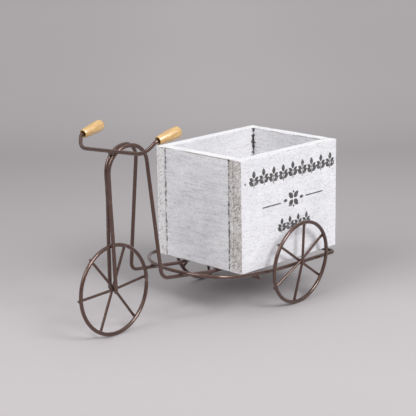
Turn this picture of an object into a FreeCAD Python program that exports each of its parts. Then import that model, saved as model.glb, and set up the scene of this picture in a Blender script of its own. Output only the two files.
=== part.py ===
import FreeCAD, Part
import Sketcher
import math
import os

# Tricycle planter stand: a small wooden planter box carried by a welded wire tricycle.
# Frame of the part: millimetres, +Z up, the front wheel towards -Y, the rider's left
# towards +X, the origin on the ground under the middle of the whole object.

doc = FreeCAD.newDocument("tricycle_planter_stand")
V = FreeCAD.Vector

# Driving sizes
SIZES = [
    # wire and rods
    ("wire_diameter", 4.0),
    ("spoke_diameter", 2.9),
    ("spoke_layer", 2.2),
    ("spoke_bend_radius", 40.0),
    ("spoke_rim_gap", 0.02),
    ("weld_gap", 0.05),
    # wheels
    ("wheelbase", 203.2),
    ("front_wheel_radius", 47.9),
    ("rear_wheel_radius", 46.4),
    ("front_spoke_overrun", 0.75),
    ("rear_spoke_overrun", 0.95),
    ("front_crossing_back", 0.8),
    ("front_crossing_rise", 0.35),
    ("rear_crossing_back", 1.6),
    ("rear_crossing_rise", 0.7),
    # planter box
    ("box_length", 154.0),
    ("box_width", 124.5),
    ("box_height", 120.7),
    ("box_tail", 73.3),
    ("board_thickness", 12.0),
    ("floor_thickness", 10.0),
    ("edge_wear", 0.8),
    ("box_seat_gap", 0.3),
    ("nail_length", 27.0),
    ("nail_diameter", 1.4),
    ("nail_head_diameter", 2.8),
    ("nail_head_thickness", 0.7),
    # arch wires
    ("run_height", 45.5),
    ("run_half_spread", 25.0),
    ("arch_back", 44.6),
    ("arch_bend_height", 54.2),
    ("arch_bend_radius", 10.0),
    ("run_bend_radius", 60.0),
    ("run_level_inset", 5.0),
    ("crown_height", 193.5),
    ("crown_span", 46.7),
    ("crown_half_spread", 5.8),
    ("legs_gap", 0.1),
    ("leg_rim_gap", 0.12),
    ("leg_spoke_gap", 0.2),
    ("leg_bend_radius", 90.0),
    ("left_foot_lead", 1.0),
    ("left_foot_drop", 3.2),
    ("right_foot_lead", -0.5),
    ("right_foot_drop", 0.5),
    ("leg_crown_lead", 5.2),
    # platform ring
    ("ring_front_reach", 54.0),
    ("ring_clearance", 2.2),
    ("ring_flare", 2.9),
    ("ring_rear_inset", 3.0),
    ("ring_corner_radius", 8.0),
    ("ring_bend_inset", 45.0),
    ("ring_bend_drop", 1.4),
    ("ring_bend_radius", 200.0),
    ("ring_joint_gap", 0.02),
    # cross rod
    ("cross_rod_inset", 21.9),
    ("cross_rod_reach", 5.55),
    # handlebar and grips
    ("bar_height", 190.6),
    ("bar_shift", 1.2),
    ("bar_half_length", 47.2),
    ("bar_end_half_spread", 54.8),
    ("bar_end_back", 9.7),
    ("bar_end_rise", 11.1),
    ("bar_bend_radius", 16.0),
    ("bar_end_radius", 5.0),
    ("grip_length", 29.4),
    ("grip_mouth_offset", 2.9),
    ("grip_mouth_diameter", 8.7),
    ("grip_widest_diameter", 12.1),
    ("grip_bore_clearance", 0.35),
    ("grip_bore_depth", 23.0),
    ("grip_countersink", 1.9),
    ("grip_end_gap", 1.5),
]

# Angles in degrees and shares, which have no length
HANDLEBAR_TILT = 3.7
GRIP_RISE = 12.0
GRIP_SPLAY = 4.4
CROSS_ROD_SKEW = 4.0
FRONT_WHEEL_TURN = 1.75
FRONT_WHEEL_LEAN = -1.26
REAR_WHEEL_TURN = 1.96
REAR_WHEEL_LEAN = 4.24
# How many layers each spoke stands off at the hub, where the three cross
FRONT_SPOKE_LAYERS = (1, 1.5, 0)
REAR_SPOKE_LAYERS = (0, 1, 2)
FRONT_SPOKE_ANGLES = (128.2, 3.0, 64.7)
REAR_LEFT_SPOKE_ANGLES = (145.6, 29.0, 84.2)
REAR_RIGHT_SPOKE_ANGLES = (92.0, 32.0, 152.0)
CROWN_FRONT_RADIUS_SHARE = 0.54
CROWN_REAR_RADIUS_SHARE = 0.4
ARCH_FOOT_SPREAD_SHARE = 0.92
LEG_JOIN_SHARE = 0.63
NAIL_HEIGHT_SHARES = (0.39, 0.79)
NAIL_LENGTH_SHARES = (0.0, 1.0)
RING_LEFT_SHARES = ((1.025, 0.26), (0.889, 0.667), (0.545, 0.935))
RING_NOSE_SHARES = (0.07, 1.0)
RING_RIGHT_SHARES = ((0.975, 0.074), (0.717, 0.528), (0.344, 0.861))
RING_ARC_SHARE = 0.45
GRIP_FLAT_SHARE = 0.3
GRIP_DOME_SHARE = 0.2
# Grip outline: share of the length, and how far the radius has gone from the mouth to the widest
GRIP_SHARES = ((0.0, 0.0), (0.3, 0.6), (0.64, 0.98), (0.86, 0.94))

sheet = doc.addObject("Spreadsheet::Sheet", "sizes")
for row, (alias, value) in enumerate(SIZES, start=1):
    sheet.set("A%d" % row, alias)
    sheet.set("B%d" % row, str(value))
    sheet.setAlias("B%d" % row, alias)
doc.recompute()

size = {alias: float(sheet.get(alias)) for alias, _ in SIZES}

# Places worked out from the driving sizes
wire_radius = size["wire_diameter"] / 2
spoke_radius = size["spoke_diameter"] / 2
whole_length = size["front_wheel_radius"] + size["wheelbase"] + size["box_tail"]
front_axle_y = size["front_wheel_radius"] - whole_length / 2
rear_axle_y = front_axle_y + size["wheelbase"]
box_rear_y = rear_axle_y + size["box_tail"]
box_front_y = box_rear_y - size["box_length"]
box_bottom_z = size["run_height"] + wire_radius + size["box_seat_gap"]

parts = []


def keep(obj, label):
    """Give a finished sub-part its name and put it on the list of nodes."""
    obj.Label = label
    parts.append(obj)
    return obj


def bind(obj, **expressions):
    """Bind properties of an object to cells of the sheet."""
    for prop, expression in expressions.items():
        obj.setExpression(prop, expression)


def origin_plane(body, role):
    for feature in body.Origin.OriginFeatures:
        if feature.Role == role:
            return feature
    raise ValueError(role)


# Boards of the planter box
def rectangle_sketch(body, name, width, depth):
    """Rectangle from the body's origin, its two sides bound to the sheet."""
    sketch = body.newObject("Sketcher::SketchObject", name)
    sketch.AttachmentSupport = (origin_plane(body, "XY_Plane"), [""])
    sketch.MapMode = "FlatFace"
    far = V(size["board_thickness"], size["board_thickness"], 0)
    corners = [V(0, 0, 0), V(far.x, 0, 0), far, V(0, far.y, 0)]
    for index in range(4):
        sketch.addGeometry(Part.LineSegment(corners[index], corners[(index + 1) % 4]))
    for index in range(4):
        sketch.addConstraint(Sketcher.Constraint("Coincident", index, 2, (index + 1) % 4, 1))
    for index in (0, 2):
        sketch.addConstraint(Sketcher.Constraint("Horizontal", index))
    for index in (1, 3):
        sketch.addConstraint(Sketcher.Constraint("Vertical", index))
    sketch.addConstraint(Sketcher.Constraint("Coincident", 0, 1, -1, 1))
    wide = sketch.addConstraint(Sketcher.Constraint("DistanceX", 0, 1, 0, 2, far.x))
    deep = sketch.addConstraint(Sketcher.Constraint("DistanceY", 1, 1, 1, 2, far.y))
    sketch.setExpression("Constraints[%d]" % wide, width)
    sketch.setExpression("Constraints[%d]" % deep, depth)
    return sketch


def board(name, width, depth, height, corner):
    """One sawn board: a padded rectangle whose twelve edges are worn round."""
    body = doc.addObject("PartDesign::Body", name + "_blank")
    sketch = rectangle_sketch(body, name + "_outline", width, depth)
    pad = body.newObject("PartDesign::Pad", name + "_pad")
    pad.Profile = sketch
    bind(pad, Length=height)
    sketch.Visibility = False
    doc.recompute()
    worn = body.newObject("PartDesign::Fillet", name + "_worn_edges")
    worn.Base = (pad, ["Edge%d" % (index + 1) for index in range(len(pad.Shape.Edges))])
    bind(worn, Radius="sizes.edge_wear")
    body.Tip = worn
    body.Placement = FreeCAD.Placement(corner, FreeCAD.Rotation())
    return body


half_width = size["box_width"] / 2
thick = size["board_thickness"]
inner_width = "sizes.box_width - 2 * sizes.board_thickness"
inner_length = "sizes.box_length - 2 * sizes.board_thickness"
side_left = board(
    "side_board_left", "sizes.board_thickness", "sizes.box_length", "sizes.box_height",
    V(half_width - thick, box_front_y, box_bottom_z))
side_right = board(
    "side_board_right", "sizes.board_thickness", "sizes.box_length", "sizes.box_height",
    V(-half_width, box_front_y, box_bottom_z))
front = board(
    "front_board", inner_width, "sizes.board_thickness", "sizes.box_height",
    V(thick - half_width, box_front_y, box_bottom_z))
rear = board(
    "rear_board", inner_width, "sizes.board_thickness", "sizes.box_height",
    V(thick - half_width, box_rear_y - thick, box_bottom_z))
floor = board(
    "floor_board", inner_width, inner_length, "sizes.floor_thickness",
    V(thick - half_width, box_front_y + thick, box_bottom_z))
keep(floor, "floor_board")


# Nails: through each side board into the ends of the front and rear boards
def nail(name, side, y, z):
    """A round nail whose flat head is flush with the outside of a side board."""
    shank = doc.addObject("Part::Cylinder", name + "_shank")
    bind(shank, Radius="sizes.nail_diameter / 2", Height="sizes.nail_length")
    head = doc.addObject("Part::Cylinder", name + "_head")
    bind(head, Radius="sizes.nail_head_diameter / 2", Height="sizes.nail_head_thickness")
    inward = FreeCAD.Rotation(V(0, 0, 1), V(-side, 0, 0))
    for piece in (shank, head):
        piece.Placement = FreeCAD.Placement(V(side * half_width, y, z), inward)
    whole = doc.addObject("Part::MultiFuse", name)
    whole.Shapes = [shank, head]
    return whole


nails = []
for side in (1, -1):
    for end_share in NAIL_LENGTH_SHARES:
        for height_share in NAIL_HEIGHT_SHARES:
            y = box_front_y + thick / 2 + end_share * (size["box_length"] - thick)
            z = box_bottom_z + height_share * size["box_height"]
            nails.append(nail("nail_%d" % (len(nails) + 1), side, y, z))
box_nails = doc.addObject("Part::Compound", "box_nails_group")
box_nails.Links = nails
keep(box_nails, "box_nails")

for blank, label in (
        (side_left, "side_board_left"),
        (side_right, "side_board_right"),
        (front, "front_board"),
        (rear, "rear_board")):
    nailed = doc.addObject("Part::Cut", label + "_nailed")
    nailed.Base = blank
    nailed.Tool = box_nails
    keep(nailed, label)


# Bent wires: straight runs joined by tangent arcs
def bent_edges(points, radii):
    """Edges of a path through points, each inner corner rounded by its own radius."""
    edges = []
    start = points[0]
    for index in range(1, len(points) - 1):
        before = (points[index] - points[index - 1]).normalize()
        after = (points[index + 1] - points[index]).normalize()
        turn = before.getAngle(after)
        radius = radii[index - 1]
        run = radius * math.tan(turn / 2)
        first = points[index] - before * run
        last = points[index] + after * run
        inward = (after - before).normalize()
        middle = points[index] + inward * (radius / math.cos(turn / 2) - radius)
        edges.append(Part.LineSegment(start, first).toShape())
        edges.append(Part.Arc(first, middle, last).toShape())
        start = last
    edges.append(Part.LineSegment(start, points[-1]).toShape())
    return edges


def swept(name, points, radii, thickness):
    """Round wire swept along a bent path, its thickness bound to the sheet."""
    edges = bent_edges(points, radii)
    route = doc.addObject("Part::Feature", name + "_route")
    route.Shape = Part.Wire(edges)
    section = doc.addObject("Part::Circle", name + "_section")
    bind(section, Radius="sizes.%s / 2" % thickness)
    heading = (points[1] - points[0]).normalize()
    section.Placement = FreeCAD.Placement(points[0], FreeCAD.Rotation(V(0, 0, 1), heading))
    doc.recompute()
    sweep = doc.addObject("Part::Sweep", name + "_sweep")
    sweep.Sections = [section]
    sweep.Spine = (route, ["Edge%d" % (index + 1) for index in range(len(edges))])
    sweep.Solid = True
    sweep.Frenet = False
    doc.recompute()
    wanted = math.pi * (size[thickness] / 2) ** 2 * route.Shape.Length
    print(name, "length %.1f" % route.Shape.Length, "volume share %.4f" % (sweep.Shape.Volume / wanted))
    return sweep


def bent_wire(label, points, radii):
    return keep(swept(label, points, radii, "wire_diameter"), label)


# Wheels: a rim ring with three rods welded across one face, each wheel standing a little askew
def wheel_place(radius, x, y, turn, lean):
    """A wheel's own frame: the hub, x across the wheel, turned and leaning, the rim on the ground."""
    height = wire_radius + (size[radius] - wire_radius) * math.cos(math.radians(lean))
    upright = FreeCAD.Rotation(V(0, 1, 0), lean)
    return FreeCAD.Placement(V(x, y, height), FreeCAD.Rotation(V(0, 0, 1), turn).multiply(upright))


def rod_direction(angle):
    return V(0, math.cos(math.radians(angle)), math.sin(math.radians(angle)))


def rim(label, radius, place):
    torus = doc.addObject("Part::Torus", label + "_ring")
    bind(torus, Radius1="sizes.%s - sizes.wire_diameter / 2" % radius, Radius2="sizes.wire_diameter / 2")
    across = FreeCAD.Rotation(V(0, 0, 1), V(1, 0, 0))
    torus.Placement = place.multiply(FreeCAD.Placement(V(0, 0, 0), across))
    return keep(torus, label)


def crossing_place(end):
    """Where the three rods cross, a little off the rim's centre, in the wheel's own frame."""
    return V(0, size[end + "_crossing_back"], size[end + "_crossing_rise"])


def rod_run(end, angle):
    """Heading of a rod, its reach to either side, and its middle, level with the rim's centre."""
    along = rod_direction(angle)
    crossing = crossing_place(end)
    half = size[end + "_wheel_radius"] - wire_radius + size[end + "_spoke_overrun"]
    return along, half, crossing - along * crossing.dot(along)


def straight_rod(name, end, place, offset, angle):
    """A rod on the face of the rim, from one end beyond the rim to the other."""
    rod = doc.addObject("Part::Cylinder", name)
    reach = "sizes.%s_wheel_radius - sizes.wire_diameter / 2 + sizes.%s_spoke_overrun" % (end, end)
    bind(rod, Radius="sizes.spoke_diameter / 2", Height="2 * (%s)" % reach)
    along, half, middle = rod_run(end, angle)
    start = middle + V(offset, 0, 0) - along * half
    rod.Placement = place.multiply(FreeCAD.Placement(start, FreeCAD.Rotation(V(0, 0, 1), along)))
    return rod


def bowed_rod(name, end, place, offset, angle, bow):
    """A rod that bows through the rim's plane at the hub, over the rods welded there before it."""
    along, half, middle = rod_run(end, angle)
    away = math.copysign(1, -offset)
    bend = size["spoke_bend_radius"]
    peak = bow + bend * (1 / math.cos(math.atan(bow / half)) - 1)
    tilt = math.atan(peak / half)
    rest = (abs(offset) + size["spoke_rim_gap"]) / math.cos(tilt) + peak * size[end + "_spoke_overrun"] / half
    points = [middle - V(away * rest, 0, 0) - along * half,
              crossing_place(end) + V(away * (peak - abs(offset)), 0, 0),
              middle - V(away * rest, 0, 0) + along * half]
    return swept(name, [place.multVec(point) for point in points], [bend], "spoke_diameter")


def spokes(label, end, place, offset, angles, layers):
    """Three rods crossing at the hub: the first whole, the others cut where they press on it."""
    rods = []
    for number, (angle, layer) in enumerate(zip(angles, layers), start=1):
        name = "%s_rod_%d" % (label, number)
        if layer:
            rod = bowed_rod(name, end, place, offset, angle, layer * size["spoke_layer"])
        else:
            rod = straight_rod(name, end, place, offset, angle)
        node = rod
        if rods:
            tool = rods[0]
            if len(rods) > 1:
                tool = doc.addObject("Part::MultiFuse", "%s_crossing_%d" % (label, number))
                tool.Shapes = list(rods)
            node = doc.addObject("Part::Cut", "%s_fitted_%d" % (label, number))
            node.Base = rod
            node.Tool = tool
        rods.append(rod)
        keep(node, "%s_spoke_%d" % (label, number))


ring_hub_x = half_width + size["ring_clearance"] + wire_radius
ring_bend_y = box_front_y + size["ring_bend_inset"]
ring_bend_z = size["run_height"] - size["ring_bend_drop"]
ring_rear_y = box_rear_y - size["ring_rear_inset"]
ring_rear_z = size["run_height"] - 2 * wire_radius - size["weld_gap"]
flare = size["ring_flare"] / (rear_axle_y - box_front_y)


def ring_side_x(y):
    """The ring's sides spread a little towards the front."""
    return ring_hub_x + flare * (rear_axle_y - y)


def ring_rear_corner(side):
    return V(side * ring_side_x(ring_rear_y), ring_rear_y, ring_rear_z)


def ring_bend_corner(side):
    return V(side * ring_side_x(ring_bend_y), ring_bend_y, ring_bend_z)


spoke_offset = wire_radius + spoke_radius


def rear_wheel_place(side, x):
    return wheel_place("rear_wheel_radius", x, rear_axle_y, REAR_WHEEL_TURN, side * REAR_WHEEL_LEAN)


def hub_reach(side, angle):
    """How far out a rear hub stands when the wheel's straight rod rests against the ring."""
    place = rear_wheel_place(side, 0)
    rod_point = place.multVec(crossing_place("rear") - V(side * spoke_offset, 0, 0))
    rod_heading = place.Rotation.multVec(rod_direction(angle))
    corner = ring_rear_corner(side)
    apart = (ring_bend_corner(side) - corner).cross(rod_heading).normalize()
    if apart.x * side < 0:
        apart = apart.negative()
    stand_off = wire_radius + spoke_radius + size["weld_gap"]
    return (stand_off - apart.dot(rod_point - corner)) / (side * apart.x)


half_track = max(hub_reach(1, REAR_LEFT_SPOKE_ANGLES[0]), hub_reach(-1, REAR_RIGHT_SPOKE_ANGLES[0]))
print("half track %.3f" % half_track)
front_spoke_x = -spoke_offset
front_wheel = wheel_place("front_wheel_radius", 0, front_axle_y, FRONT_WHEEL_TURN, FRONT_WHEEL_LEAN)
rim("front_wheel_rim", "front_wheel_radius", front_wheel)
spokes("front_wheel", "front", front_wheel, front_spoke_x, FRONT_SPOKE_ANGLES, FRONT_SPOKE_LAYERS)
for label, side, angles in (
        ("rear_left_wheel", 1, REAR_LEFT_SPOKE_ANGLES),
        ("rear_right_wheel", -1, REAR_RIGHT_SPOKE_ANGLES)):
    wheel = rear_wheel_place(side, side * half_track)
    rim(label + "_rim", "rear_wheel_radius", wheel)
    spokes(label, "rear", wheel, -side * spoke_offset, angles, REAR_SPOKE_LAYERS)

# Arch wires: fork leg, crown over the steering head, long drop, and the run under the box
crown_y = front_axle_y - size["leg_crown_lead"]
arch_back_y = front_axle_y + size["arch_back"]
run_level_y = box_front_y - size["run_level_inset"]
crown_radius = size["crown_span"] * CROWN_FRONT_RADIUS_SHARE
rim_top_z = 2 * size["front_wheel_radius"] - wire_radius
leg_join_z = rim_top_z + LEG_JOIN_SHARE * (size["crown_height"] - crown_radius - rim_top_z)


def arch_wire(label, side, foot_lead, drop, rods_x):
    """One long wire; its foot stands beside the rods that cross at the hub."""
    def lead(z):
        """How far forward of the axle the fork leg stands at a height."""
        share = (z - size["front_wheel_radius"]) / (size["crown_height"] - size["front_wheel_radius"])
        return foot_lead + share * (size["leg_crown_lead"] - foot_lead)

    rim_top = front_wheel.multVec(V(0, -lead(rim_top_z), size["front_wheel_radius"] - wire_radius))
    beside_rim = rim_top.x + side * (2 * wire_radius + size["leg_rim_gap"])
    beside_spokes = side * (spoke_radius + wire_radius + size["leg_spoke_gap"]) + rods_x
    joined = wire_radius + size["legs_gap"] / 2
    foot_z = size["front_wheel_radius"] - drop
    points = [
        V(beside_spokes, front_axle_y - lead(foot_z), foot_z),
        V(beside_rim, front_axle_y - lead(rim_top_z), rim_top_z),
        V(side * joined, front_axle_y - lead(leg_join_z), leg_join_z),
        V(side * joined, crown_y, size["crown_height"]),
        V(side * size["crown_half_spread"], crown_y + size["crown_span"], size["crown_height"]),
        V(side * size["run_half_spread"] * ARCH_FOOT_SPREAD_SHARE, arch_back_y, size["arch_bend_height"]),
        V(side * size["run_half_spread"], run_level_y, size["run_height"]),
        V(side * size["run_half_spread"], ring_rear_y + wire_radius, size["run_height"]),
    ]
    radii = [
        size["leg_bend_radius"],
        size["leg_bend_radius"],
        crown_radius,
        size["crown_span"] * CROWN_REAR_RADIUS_SHARE,
        size["arch_bend_radius"],
        size["run_bend_radius"],
    ]
    return bent_wire(label, points, radii)


arch_wire("arch_wire_left", 1, size["left_foot_lead"], size["left_foot_drop"],
          front_spoke_x + max(FRONT_SPOKE_LAYERS) * size["spoke_layer"])
arch_wire("arch_wire_right", -1, size["right_foot_lead"], size["right_foot_drop"], front_spoke_x)

# Platform ring: round the foot of the box, over the two runs in front and under them behind
ring_front_x = ring_hub_x + size["ring_flare"]


run_slope = (size["arch_bend_height"] - size["run_height"]) / (run_level_y - arch_back_y)
ring_over_run = (2 * wire_radius + size["weld_gap"]) * math.hypot(1, run_slope)


def run_z(y):
    """Height of the two runs in front of the box."""
    return size["run_height"] + run_slope * (run_level_y - y)


def front_place(side, shares):
    x_share, y_share = shares
    return V(side * x_share * ring_front_x, box_front_y - y_share * size["ring_front_reach"], 0)


def crossing(side, corner):
    """Where the ring's outline passes over a run, on its way from a corner to the nose."""
    share = (side * size["run_half_spread"] - corner.x) / (nose_place.x - corner.x)
    return corner.y + share * (nose_place.y - corner.y)


nose_place = front_place(1, RING_NOSE_SHARES)
ring_rise = 0
for side, shares in ((1, RING_LEFT_SHARES), (-1, RING_RIGHT_SHARES)):
    cross_y = crossing(side, front_place(side, shares[-1]))
    cross_z = run_z(cross_y) + ring_over_run
    ring_rise = max(ring_rise, (cross_z - ring_bend_z) / (ring_bend_y - cross_y))


def front_z(y):
    """Height of the ring's raised front part."""
    return ring_bend_z + ring_rise * (ring_bend_y - y)


def ring_side(side, shares):
    """Corners of one half of the ring, from the rear corner to the last before the nose."""
    corners = [ring_rear_corner(side), ring_bend_corner(side)]
    for pair in shares:
        place = front_place(side, pair)
        corners.append(V(place.x, place.y, front_z(place.y)))
    return corners


def arc_radius(before, corner, after):
    """Largest neat radius at a corner: a share of its shorter run."""
    first = corner - before
    second = after - corner
    turn = first.getAngle(second)
    return RING_ARC_SHARE * min(first.Length, second.Length) / math.tan(turn / 2)


nose = V(nose_place.x, nose_place.y, front_z(nose_place.y))
joint = V(size["ring_joint_gap"] / 2, ring_rear_y, ring_rear_z)
left_half = ring_side(1, RING_LEFT_SHARES)
right_half = ring_side(-1, RING_RIGHT_SHARES)
ring_points = [joint] + left_half + [nose] + right_half[::-1] + [V(-joint.x, joint.y, joint.z)]
ring_radii = []
for index in range(1, len(ring_points) - 1):
    ring_radii.append(arc_radius(*ring_points[index - 1:index + 2]))
ring_radii[0] = size["ring_corner_radius"]
ring_radii[-1] = size["ring_corner_radius"]
for index in (1, -2):
    ring_radii[index] = size["ring_bend_radius"]
bent_wire("platform_ring", ring_points, ring_radii)

# Cross rod: a thin rod under the runs and the ring, set a little askew
rod_y = box_front_y + size["cross_rod_inset"]
rod_z = size["run_height"] - wire_radius - spoke_radius - size["weld_gap"]
skew = math.radians(CROSS_ROD_SKEW)
rod_heading = V(math.cos(skew), -math.sin(skew), 0)
cross_rod = doc.addObject("Part::Cylinder", "cross_rod_bar")
ring_width = "sizes.box_width + 2 * sizes.ring_clearance + sizes.wire_diameter"
bind(cross_rod, Radius="sizes.spoke_diameter / 2", Height=ring_width + " + 2 * sizes.cross_rod_reach")
rod_start = V(0, rod_y, rod_z) - rod_heading * (ring_hub_x + size["cross_rod_reach"])
cross_rod.Placement = FreeCAD.Placement(rod_start, FreeCAD.Rotation(V(0, 0, 1), rod_heading))
keep(cross_rod, "cross_rod")

# Handlebar: welded across the front of the two crowns, a little tilted
crown_centre = V(0, crown_y + crown_radius, size["crown_height"] - crown_radius)
bar_stand_off = crown_radius + 2 * wire_radius + 2 * size["weld_gap"]
bar_y = crown_centre.y - math.sqrt(bar_stand_off ** 2 - (size["bar_height"] - crown_centre.z) ** 2)
tilt = FreeCAD.Placement(
    V(0, 0, 0), FreeCAD.Rotation(V(0, 1, 0), -HANDLEBAR_TILT), V(0, bar_y, size["bar_height"]))
bore_end = size["grip_mouth_offset"] + size["grip_bore_depth"] - size["grip_end_gap"]


def grip_heading(side):
    rise = math.radians(GRIP_RISE)
    splay = math.radians(GRIP_SPLAY)
    level = V(side * math.sin(splay), math.cos(splay), 0)
    return (level * math.cos(rise) + V(0, 0, math.sin(rise))).normalize()


def bar_end(side):
    return V(side * size["bar_end_half_spread"], bar_y + size["bar_end_back"],
             size["bar_height"] + size["bar_end_rise"])


bar_points = []
for side in (1, -1):
    corner = V(side * size["bar_half_length"] + size["bar_shift"], bar_y, size["bar_height"])
    half_bar = [bar_end(side) + grip_heading(side) * bore_end, bar_end(side), corner]
    bar_points += half_bar if side > 0 else half_bar[::-1]
bar_points = [tilt.multVec(point) for point in bar_points]
end_radius = size["bar_end_radius"]
bend_radius = size["bar_bend_radius"]
bent_wire("handlebar", bar_points, [end_radius, bend_radius, bend_radius, end_radius])


# Grips: turned wooden handles, narrow at the mouth, with a blind bore for the wire
def grip(label, side):
    body = doc.addObject("PartDesign::Body", label + "_turning")
    sketch = body.newObject("Sketcher::SketchObject", label + "_profile")
    sketch.AttachmentSupport = (origin_plane(body, "XZ_Plane"), [""])
    sketch.MapMode = "FlatFace"
    mouth = size["grip_mouth_diameter"] / 2
    widest = size["grip_widest_diameter"] / 2
    bore = wire_radius + size["grip_bore_clearance"]
    sink = size["grip_countersink"]
    length = size["grip_length"]
    depth = size["grip_bore_depth"]
    outline = [V(mouth + share * (widest - mouth), along * length, 0) for along, share in GRIP_SHARES]
    dome_start = outline[-1]
    dome_end = V(GRIP_FLAT_SHARE * widest, length, 0)
    slant = (dome_start - dome_end) * GRIP_DOME_SHARE
    middle = (dome_start + dome_end) / 2 + V(-slant.y, slant.x, 0)
    tip = V(0, length, 0)
    flat = [V(0, depth, 0), V(bore, depth, 0), V(bore, sink, 0), V(bore + sink, 0, 0), outline[0]]
    for start, end in zip(flat[:-1], flat[1:]):
        sketch.addGeometry(Part.LineSegment(start, end))
    spline = Part.BSplineCurve()
    spline.interpolate(outline)
    sketch.addGeometry(spline)
    sketch.addGeometry(Part.Arc(dome_start, middle, dome_end))
    sketch.addGeometry(Part.LineSegment(dome_end, tip))
    sketch.addGeometry(Part.LineSegment(tip, flat[0]))
    turned = body.newObject("PartDesign::Revolution", label + "_turned")
    turned.Profile = sketch
    turned.ReferenceAxis = (sketch, ["V_Axis"])
    turned.Angle = 360
    body.Tip = turned
    place = FreeCAD.Placement(
        bar_end(side) + grip_heading(side) * size["grip_mouth_offset"],
        FreeCAD.Rotation(V(0, 0, 1), grip_heading(side)))
    body.Placement = tilt.multiply(place)
    return keep(body, label)


grip("grip_left", 1)
grip("grip_right", -1)

# Build, check and write every sub-part
doc.recompute()
for obj in doc.Objects:
    for state in obj.State:
        if state in ("Invalid", "Error"):
            raise RuntimeError("%s is %s" % (obj.Label, state))
os.makedirs("parts", exist_ok=True)
whole = FreeCAD.BoundBox()
for obj in parts:
    shape = obj.Shape
    if shape.isNull() or not shape.isValid() or not shape.Solids:
        raise RuntimeError("%s has no valid solid" % obj.Label)
    whole.add(shape.BoundBox)
for obj in parts:
    obj.Shape.exportStep("parts/%s.step" % obj.Label)
    print("%-26s solids %2d volume %10.1f" % (obj.Label, len(obj.Shape.Solids), obj.Shape.Volume))
print("nodes", len(parts))
print("box", [round(v, 2) for v in (whole.XMin, whole.XMax, whole.YMin, whole.YMax, whole.ZMin, whole.ZMax)])
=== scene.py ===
import math
from functools import partial

import bmesh
import bpy
from mathutils import Matrix, Vector, noise


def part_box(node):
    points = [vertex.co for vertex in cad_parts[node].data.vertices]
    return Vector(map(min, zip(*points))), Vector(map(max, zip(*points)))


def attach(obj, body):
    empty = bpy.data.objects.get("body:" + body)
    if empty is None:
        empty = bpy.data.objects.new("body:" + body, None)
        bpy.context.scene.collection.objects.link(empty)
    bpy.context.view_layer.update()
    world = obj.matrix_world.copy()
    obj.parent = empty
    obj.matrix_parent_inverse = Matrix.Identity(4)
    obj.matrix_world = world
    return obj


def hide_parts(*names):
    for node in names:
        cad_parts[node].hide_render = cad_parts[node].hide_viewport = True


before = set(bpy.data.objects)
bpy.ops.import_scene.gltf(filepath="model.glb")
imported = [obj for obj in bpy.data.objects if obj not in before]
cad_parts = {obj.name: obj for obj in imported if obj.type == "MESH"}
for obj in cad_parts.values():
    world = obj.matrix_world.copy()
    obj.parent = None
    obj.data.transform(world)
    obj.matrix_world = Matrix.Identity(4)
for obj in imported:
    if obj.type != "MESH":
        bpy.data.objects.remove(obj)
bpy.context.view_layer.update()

mm = 0.001


# Studio
# A pale seamless floor under a large soft lamp high on the right and a weaker one in front.
# The floor's colour is painted lighter near the camera and greyer behind, a painted light falloff,
# with a painted pool of light there.
def put_in_scene(name, data):
    thing = bpy.data.objects.new(name, data)
    bpy.context.scene.collection.objects.link(thing)
    return thing


def new_material(name):
    material = bpy.data.materials.new(name)
    material.use_nodes = True
    return material, material.node_tree, material.node_tree.nodes["Principled BSDF"]


def feed(tree, socket, value):
    """Links an output to the socket, or sets the socket's own value."""
    if isinstance(value, bpy.types.NodeSocket):
        tree.links.new(value, socket)
    else:
        socket.default_value = value


def set_inputs(tree, node, **values):
    """Feeds inputs by name, where _ stands for a space."""
    for key, value in values.items():
        feed(tree, node.inputs[key.replace("_", " ")], value)


def add_node(tree, kind, values=None, **settings):
    """A node with its properties set by name, and its inputs fed from values."""
    node = tree.nodes.new(kind)
    for key, value in settings.items():
        setattr(node, key, value)
    for key, value in (values or {}).items():
        feed(tree, node.inputs[key], value)
    return node


def ramp(tree, source, stops):
    """A colour ramp fed by a value; stops are (place, colour), or (place, level) for a grey."""
    node = add_node(tree, "ShaderNodeValToRGB", {"Fac": source})
    elements = node.color_ramp.elements
    while len(elements) < len(stops):
        elements.new(0.5)
    for element, (place, colour) in zip(elements, stops):
        colour = colour if isinstance(colour, tuple) else (colour, colour, colour)
        element.position = place
        element.color = (*colour, 1.0)
    return node.outputs["Color"]


def maths(tree, operation, *values, clamp=False):
    node = add_node(tree, "ShaderNodeMath", operation=operation, use_clamp=clamp)
    for socket, value in zip(node.inputs, values):
        feed(tree, socket, value)
    return node.outputs["Value"]


def object_place(tree):
    return add_node(tree, "ShaderNodeTexCoord").outputs["Object"]


def axes_of(tree, vector):
    return add_node(tree, "ShaderNodeSeparateXYZ", {0: vector}).outputs


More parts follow.
